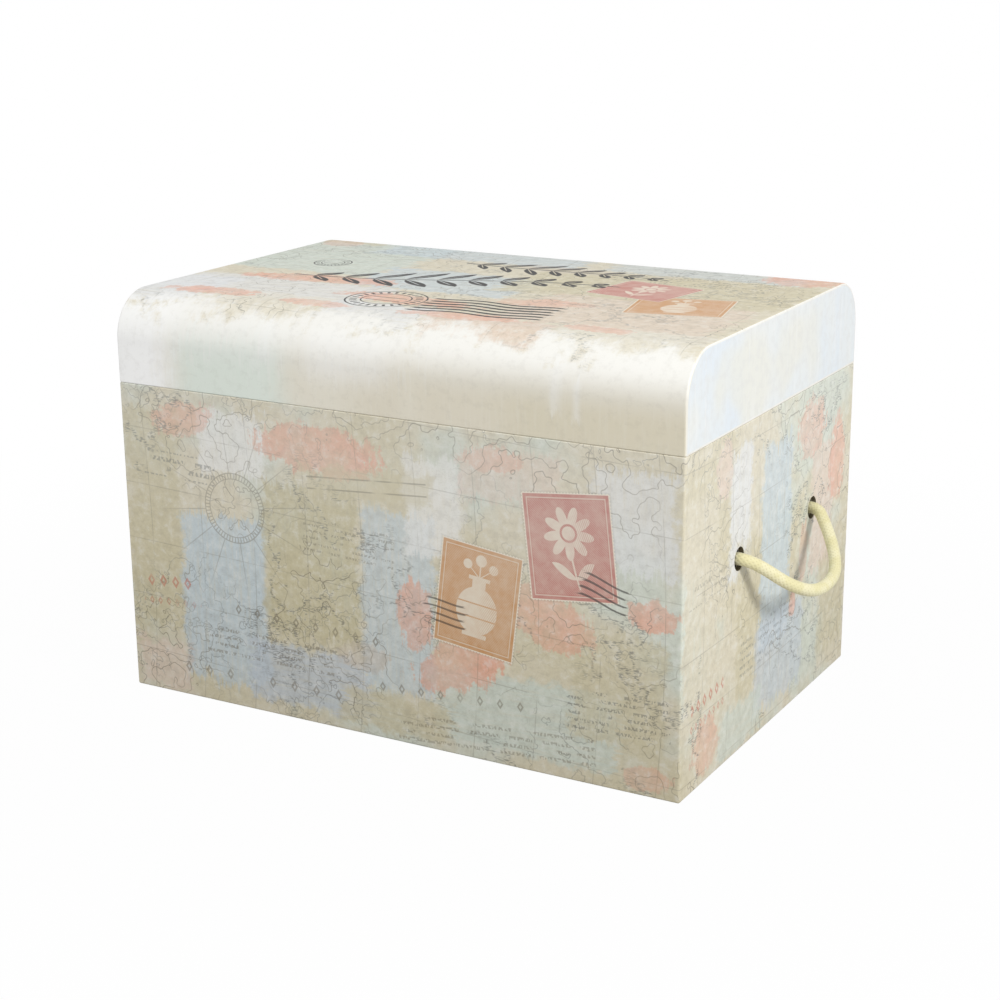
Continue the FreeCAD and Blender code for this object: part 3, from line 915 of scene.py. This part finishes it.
def cotton_rope():
    """Braided cotton: plaits pale on top and darker between them as painted shade, with fine
    yarns along them.
    """
    finish = Finish("braided cotton rope")
    strand = finish.own_map("strand")
    hollow = finish.node("ShaderNodeAttribute", {"attribute_name": "hollow"}, output="Fac")
    along, around = finish.split(strand)[:2]
    lean = ROPE_TURN / (math.pi * ROPE_DIAMETER)
    first = ((along / lean + around) * 5200.0).sine()
    second = ((along / lean - around) * 5200.0).sine()
    yarns = first * second * 0.5 + 0.5
    fuzz = finish.noise(finish.place(), 2400.0, 2.0, 0.6)
    slub = finish.noise(finish.place(), 130.0, 2.0, 0.5)
    colour = finish.blend(srgb(233, 227, 189), srgb(226, 219, 173), slub.rise(0.4, 0.6))
    # Painted shade: the colour darkens in the hollows between the plaits
    colour = finish.blend(colour, srgb(195, 182, 132), hollow.rise(0.3, 1.0) * 0.6)
    colour = finish.blend(colour, srgb(211, 200, 150), yarns.rise(0.5, 1.0) * 0.22)
    relief = yarns * 0.6 + fuzz * 0.7
    return finish.surface(
        colour,
        fuzz * 0.1 + 0.78,
        finish.bump(relief, 0.12 * MM, 0.6),
        Sheen_Weight=0.25,
        Sheen_Roughness=0.5,
    )


BODY_PRINT = body_print()
LID_PRINT = lid_print()
LINING = plain_paper("cream lining paper", srgb(236, 230, 214), srgb(226, 218, 198))
BASE_PAPER = plain_paper("uncoated base paper", srgb(216, 208, 188), srgb(204, 195, 172))
END_PAPER = end_paper()
BOARD_WITH_HOLE_SHADE = board_with_painted_hole_shade()
TAPE = gummed_tape()
ROPE = cotton_rope()

# The covers, with the print laid round them as one unfolded sheet


def body_place(point, face):
    """Along the walls from the front's middle, and up from the base."""
    normal, middle = face.normal, face.calc_center_median()
    gaps = {
        "front": middle.y - body_low.y,
        "rear": body_high.y - middle.y,
        "right": body_high.x - middle.x,
        "left": middle.x - body_low.x,
    }
    if abs(normal.z) > 0.7:
        wall = min(gaps, key=gaps.get)
    elif abs(normal.x) > abs(normal.y):
        wall = "right" if middle.x > 0 else "left"
    else:
        wall = "front" if middle.y < 0 else "rear"
    along, inwards = {
        "front": (point.x, point.y - body_low.y),
        "right": (WIDTH / 2 + point.y - body_low.y, body_high.x - point.x),
        "rear": (-point.x, body_high.y - point.y),
        "left": (WIDTH / 2 + body_high.y - point.y, point.x - body_low.x),
    }[wall]
    if normal.z < -0.7:
        return along, point.z - inwards
    if normal.z > 0.7:
        return along, point.z + inwards
    return along, point.z


def lid_place(point, face):
    """Along the lid, and up its front, over its top and down its rear."""
    middle = face.calc_center_median()
    inwards = WIDTH / 2 - abs(middle.x)
    if abs(face.normal.x) > 0.7:
        return point.y, SEAM - point.z if inwards > MM else LID_FOLD_PRINT
    shoulder = TOP - LID_ROUND - SEAM
    quarter = LID_ROUND * math.pi / 2
    centre = lid_high.y - LID_ROUND
    whole = 2 * (shoulder + quarter + centre)
    out = abs(point.y) - centre
    rise = point.z - (TOP - LID_ROUND)
    if out < 0:
        up = shoulder + quarter - out
    elif rise < 0:
        up = point.z - SEAM
    else:
        up = shoulder + LID_ROUND * math.atan2(rise, out)
    return point.x, up if point.y < 0 else whole - up


def cover(name, node, place, material, body):
    """A printed cover in its solid's place."""
    shape = copied(node)
    shape.normal_update()
    sheet = shape.loops.layers.uv.new("sheet")
    for face in shape.faces:
        for corner in face.loops:
            corner[sheet].uv = place(corner.vert.co, face)
    piece = finished(name, shape, material)
    flat_panels(piece)
    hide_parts(node)
    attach(piece, body)


cover("body_cover", "body_wrap", body_place, BODY_PRINT, "trunk_body")
cover("lid_cover", "lid_wrap", lid_place, LID_PRINT, "lid")


def lid_inside():
    """The lid's lining, smooth round its bent board."""
    piece = finished("lid_inside_paper", copied("lid_lining"), LINING, LINING_ANGLE)
    flat_panels(piece)
    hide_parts("lid_lining")
    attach(piece, "lid")


lid_inside()

# The ropes


def even(line):
    """The same line with its points a step apart."""
    lengths = [0.0]
    for before, after in zip(line, line[1:]):
        lengths.append(lengths[-1] + (after - before).length)
    count = max(2, round(lengths[-1] / ROPE_STEP))
    evened = []
    index = 0
    for number in range(count + 1):
        wanted = lengths[-1] * number / count
        while index < len(line) - 2 and lengths[index + 1] < wanted:
            index += 1
        span = lengths[index + 1] - lengths[index]
        share = (wanted - lengths[index]) / span if span else 0.0
        evened.append(line[index].lerp(line[index + 1], min(1.0, share)))
    return evened


def rope_line(points):
    """The smooth line that a route's points pull, in even steps."""
    curve = bpy.data.curves.new("route", "CURVE")
    curve.dimensions = "3D"
    curve.resolution_u = ROUTE_STEPS
    spline = curve.splines.new("NURBS")
    spline.points.add(len(points) - 1)
    for knot, place in zip(spline.points, points):
        knot.co = (*place, 1)
    spline.order_u = 3
    spline.use_endpoint_u = True
    guide = bpy.data.objects.new("route", curve)
    drawn = bpy.data.meshes.new_from_object(guide)
    line = [vertex.co.copy() for vertex in drawn.vertices]
    bpy.data.objects.remove(guide)
    bpy.data.curves.remove(curve)
    bpy.data.meshes.remove(drawn)
    return even(line)


def length_of(line):
    return sum((after - before).length for before, after in zip(line, line[1:]))


def rings_along(line):
    """At each point of a line, two directions square to it that never twist."""
    frames = []
    across = None
    for index, place in enumerate(line):
        before = line[max(index - 1, 0)]
        after = line[min(index + 1, len(line) - 1)]
        ahead = (after - before).normalized()
        if across is None:
            across = ahead.orthogonal().normalized()
        across = (across - ahead * across.dot(ahead)).normalized()
        frames.append((place, across, ahead.cross(across)))
    return frames


def plait(along, around):
    """How far the braid stands out at a point of the rope, from 0 to 1."""
    turn = math.tau * along / ROPE_TURN
    weave = math.cos(ROPE_PLAITS * turn)
    right = math.cos(ROPE_PLAITS * (around - turn) / 2) ** 2
    left = math.cos(ROPE_PLAITS * (around + turn) / 2) ** 2
    return max(right ** 0.5 * (0.80 + 0.20 * weave), left ** 0.5 * (0.80 - 0.20 * weave))


def braided(shape, line, flare=0.0):
    """Adds a braided tube along a line, closed at its ends."""
    frames = rings_along(line)
    total = length_of(line)
    part = bmesh.new()
    sheet = part.loops.layers.uv.new("strand")
    hollow = part.verts.layers.float.new("hollow")
    bmesh.ops.create_grid(part, x_segments=len(line) - 1, y_segments=ROPE_SIDES, size=0.5)
    girth = math.pi * ROPE_DIAMETER
    for face in part.faces:
        for corner in face.loops:
            spot = corner.vert.co
            corner[sheet].uv = ((spot.x + 0.5) * total, (spot.y + 0.5) * girth)
    for vertex in part.verts:
        share = vertex.co.x + 0.5
        along = share * total
        around = (vertex.co.y + 0.5) * math.tau
        place, across, beside = frames[round(share * (len(line) - 1))]
        high = plait(along, around)
        radius = BRAID_CREST * (1 - BRAID_DEPTH + BRAID_DEPTH * high)
        if flare:
            radius *= 1 + flare * max(0.0, 1 - (total - along) / FLARE_LENGTH) ** 2
        vertex[hollow] = 1 - high
        side = across * math.cos(around) + beside * math.sin(around)
        vertex.co = place + side * radius
    bmesh.ops.remove_doubles(part, verts=part.verts, dist=SAME_PLACE)
    ends = [edge for edge in part.edges if edge.is_boundary]
    bmesh.ops.holes_fill(part, edges=ends)
    bmesh.ops.recalc_face_normals(part, faces=part.faces)
    mesh = bpy.data.meshes.new("part")
    part.to_mesh(mesh)
    part.free()
    shape.from_mesh(mesh)
    bpy.data.meshes.remove(mesh)


def handle_route(side):
    """Out of the front hole, round the loop and into the rear hole."""
    axis = Vector((WIDTH / 2 + ROPE_DIAMETER / 2 + SWING_CLEARANCE, HOLE_PAIR_BACK, 0))
    axis.z = SEAM - HOLE_BELOW_RIM
    points = [axis + Vector(offset) for offset in HANDLE_ROUTE]
    inside = WIDTH / 2 - ROPE_IN_WALL
    first = Vector((inside, points[0].y, axis.z))
    last = Vector((inside, points[-1].y, axis.z))
    points = [first, *points, last]
    return [Vector((side * point.x, point.y, point.z)) for point in points]


def handle(side, word):
    """One handle's loop, which bends where it leaves its holes."""
    line = rope_line(handle_route(side))
    shape = bmesh.new()
    braided(shape, line)
    piece = finished(word + "_rope", shape, ROPE, ROPE_ANGLE)
    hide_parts(word + "_rope_loop")
    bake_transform(piece)
    return piece, line


def rope_end(side, place_y, name):
    """The rope through the wall, its stopper knot and its tail."""
    level = SEAM - HOLE_BELOW_RIM
    low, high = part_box(name)
    outer = WIDTH / 2 - ROPE_IN_WALL
    inner = min(abs(low.x), abs(high.x))
    tail_tip = inner + ROPE_IN_WALL
    wall = WIDTH / 2 - WALL_AND_LINING
    knot_far = wall - KNOT_TURNS * ROPE_DIAMETER
    places = (outer, wall, knot_far, (knot_far + tail_tip) / 2)
    straight = [Vector((side * x, place_y, level)) for x in places]
    straight.append(Vector((side * tail_tip, place_y, level - TAIL_SAG)))
    shape = bmesh.new()
    braided(shape, rope_line(straight), TAIL_FLARE)
    wrap_radius = KNOT_RADIUS - ROPE_DIAMETER / 2
    turns = []
    last = KNOT_TURNS * KNOT_POINTS
    for number in range(last + 1):
        share = number / last
        way = math.tau * number / KNOT_POINTS
        reach = wrap_radius * (0.94 if number in (0, last) else 1.0)
        along = wall - KNOT_PLAY - ROPE_DIAMETER / 2
        along -= share * (KNOT_TURNS - 1) * ROPE_DIAMETER
        turns.append(Vector((
            side * along,
            place_y + math.cos(way) * reach,
            level + math.sin(way) * reach,
        )))
    braided(shape, rope_line(turns))
    piece = finished(name + "_knot", shape, ROPE, ROPE_ANGLE)
    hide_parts(name)
    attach(piece, "trunk_body")
    return piece


for side, word in ((1, "right"), (-1, "left")):
    rope, line = handle(side, word)
    for place_y, where in ((line[0].y, "front"), (line[-1].y, "rear")):
        rope_end(side, place_y, word + "_" + where + "_rope_end")
    length_of(line)

# The hinge's creases


def hinge_crease():
    """The cover's fold between body and lid, pressed into the seam behind.

    Its faces are made one by one, because extruding orders them anew in each run.
    """
    outer = [
        Vector((0, body_high.y - inwards * MM, SEAM + up * MM)) for inwards, up in HINGE_FOLD
    ]
    along = Vector((1, 0, 0))
    squares = [
        along.cross(after - before).normalized() for before, after in zip(outer, outer[1:])
    ]
    inner = []
    for place, below, above in zip(outer, squares[:1] + squares, squares + squares[-1:]):
        square = (below + above).normalized()
        inner.append(place + square * (FOLD_PAPER / square.dot(below)))
    shape = bmesh.new()
    (left_out, left_in), (right_out, right_in) = [
        [[shape.verts.new((x, place.y, place.z)) for place in side] for side in (outer, inner)]
        for x in (-HINGE_HALF, HINGE_HALF)
    ]
    lines = (left_out, right_out, right_in, left_in)
    for first, second in zip(lines, lines[1:] + lines[:1]):
        for a, b, c, d in zip(first, first[1:], second[1:], second):
            shape.faces.new((a, b, c, d))
    for rim in (0, -1):
        shape.faces.new([line[rim] for line in lines])
    bmesh.ops.recalc_face_normals(shape, faces=shape.faces)
    sheet = shape.loops.layers.uv.new("sheet")
    for face in shape.faces:
        for corner in face.loops:
            corner[sheet].uv = (-corner.vert.co.x, corner.vert.co.z)
    piece = finished("hinge_crease", shape, BODY_PRINT)
    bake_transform(piece)


hinge_crease()

# The plain papers and boards keep their solids, in the finishes of the record's slots

FINISHES = {
    "greyboard": BOARD_WITH_HOLE_SHADE,
    "gummed_tape": TAPE,
    "lining_paper": LINING,
    "base_paper": BASE_PAPER,
    "printed_paper": END_PAPER,
    "cotton_rope": ROPE,
}
for subpart in frame["record"]["subparts"]:
    solid = frame["nodes"][subpart["node"]].data
    solid.materials.clear()
    solid.materials.append(FINISHES[subpart["material_slot"]])

# The floor, the lamps and the white surroundings

MIDDLE = Vector((0, 0, 0.13))
PURE_WHITE = (1, 1, 1, 1)
SOFT_LIGHT = 0.485
# Each lamp's place, size in metres and power in watts
LAMPS = [
    ("key", (2.1, -0.67, 1.33), (0.55, 0.55), 34.5),
    ("front", (-0.2, -1.3, 1.6), (2.4, 0.8), 14.3),
]


def floor():
    """A white floor that keeps a faint shadow near the trunk."""
    shape = bmesh.new()
    bmesh.ops.create_grid(shape, x_segments=1, y_segments=1, size=6.0)
    bmesh.ops.translate(shape, verts=shape.verts, vec=(0, 0, -0.1 * MM))
    finish = Finish("pale floor")
    x, y = finish.split(finish.place())[:2]
    away = x.out(y)
    lit = finish.node("ShaderNodeBsdfDiffuse", None, {"Color": srgb(188, 188, 188)})
    white = finish.node("ShaderNodeEmission", None, {"Color": PURE_WHITE, "Strength": 1.0})
    share = finish.white_rays() * (away.rise(0.25, 0.75) * 0.02 + 0.98)
    mixed = finish.node("ShaderNodeMixShader", None, {0: share, 1: lit, 2: white})
    finish.add("ShaderNodeOutputMaterial", None, {0: mixed})
    finished("floor", shape, finish.material)


def lamp(name, place, size, power):
    """A soft oblong lamp that points at the trunk."""
    data = bpy.data.lights.new(name, "AREA")
    data.shape = "RECTANGLE"
    data.size, data.size_y = size
    data.energy = power
    away = (Vector(place) - MIDDLE).to_track_quat("Z", "Y")
    turned = away.to_matrix().to_4x4()
    linked(name, data).matrix_world = Matrix.Translation(place) @ turned


def surroundings():
    """White where they are seen, and a plain soft light on everything else."""
    world = bpy.data.worlds.new("white room")
    bpy.context.scene.world = world
    world.use_nodes = True
    room = Nodes(world.node_tree)
    soft, white = [
        room.node("ShaderNodeBackground", None, {"Color": PURE_WHITE, "Strength": level})
        for level in (SOFT_LIGHT, 1.0)
    ]
    share = room.white_rays()
    mixed = room.node("ShaderNodeMixShader", None, {0: share, 1: soft, 2: white})
    room.add("ShaderNodeOutputWorld", None, {0: mixed})


floor()
for name, place, size, power in LAMPS:
    lamp(name, place, size, power)
surroundings()
bpy.context.scene.view_settings.view_transform = "Standard"
